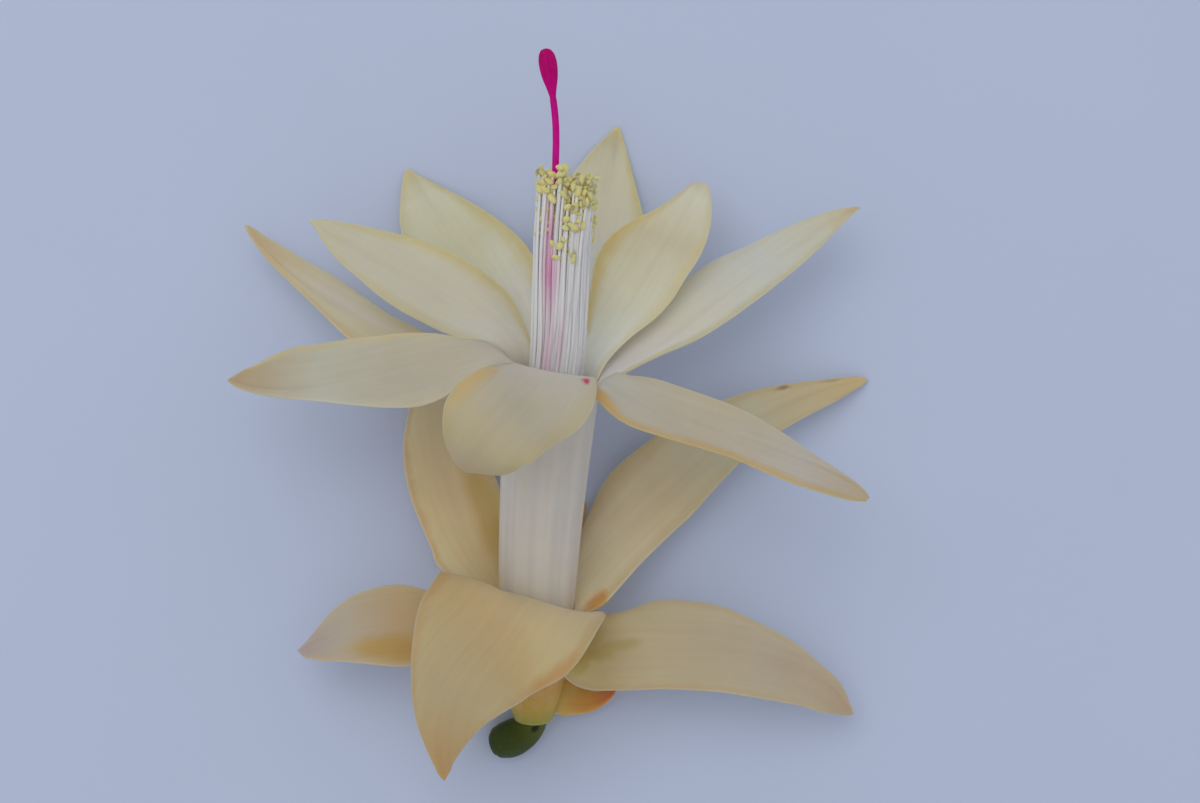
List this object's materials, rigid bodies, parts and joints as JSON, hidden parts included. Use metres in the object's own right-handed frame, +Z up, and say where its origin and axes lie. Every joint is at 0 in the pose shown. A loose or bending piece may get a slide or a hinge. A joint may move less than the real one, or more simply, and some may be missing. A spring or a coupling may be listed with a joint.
{
  "type": "christmas cactus flower",
  "caption": "Picked Christmas cactus flower lying on its side: green ovary, hollow white tube, outer and inner cream tepals, a bunch of pale stamens and a magenta style.",
  "frame": {"origin": "middle of the flower's footprint, on the surface that it lies on", "axes": "+Z up from the surface, +Y along the flower from its ovary to its stigma, +X to its right as seen from above"},
  "size_m": [0.0655, 0.0722, 0.0287],
  "materials": {
    "ovary": "fleshy green skin, satin",
    "tube": "waxy white petal tissue, satin",
    "outer_tepals": "waxy cream petal tissue with ochre rims, satin",
    "inner_tepals": "waxy ivory petal tissue with yellow rims, satin",
    "stamens": "white filaments with yellow anthers, satin",
    "style": "magenta petal tissue, satin"
  },
  "bodies": {
    "root": {"ovary": "ovary", "floral_tube": "tube", "stamens": "stamens", "style": "style", "outer_tepal_front": "outer_tepals", "outer_tepal_left": "outer_tepals", "outer_tepal_back_left": "outer_tepals", "outer_tepal_under": "outer_tepals", "outer_tepal_back_right": "outer_tepals", "outer_tepal_right": "outer_tepals", "outer_tepal_foot": "outer_tepals", "inner_tepal_front": "inner_tepals", "inner_tepal_left": "inner_tepals", "inner_tepal_low_left": "inner_tepals", "inner_tepal_upper_left": "inner_tepals", "inner_tepal_back_left": "inner_tepals", "inner_tepal_back": "inner_tepals", "inner_tepal_back_right": "inner_tepals", "inner_tepal_right": "inner_tepals", "inner_tepal_lower_right": "inner_tepals"}
  },
  "joints": []
}
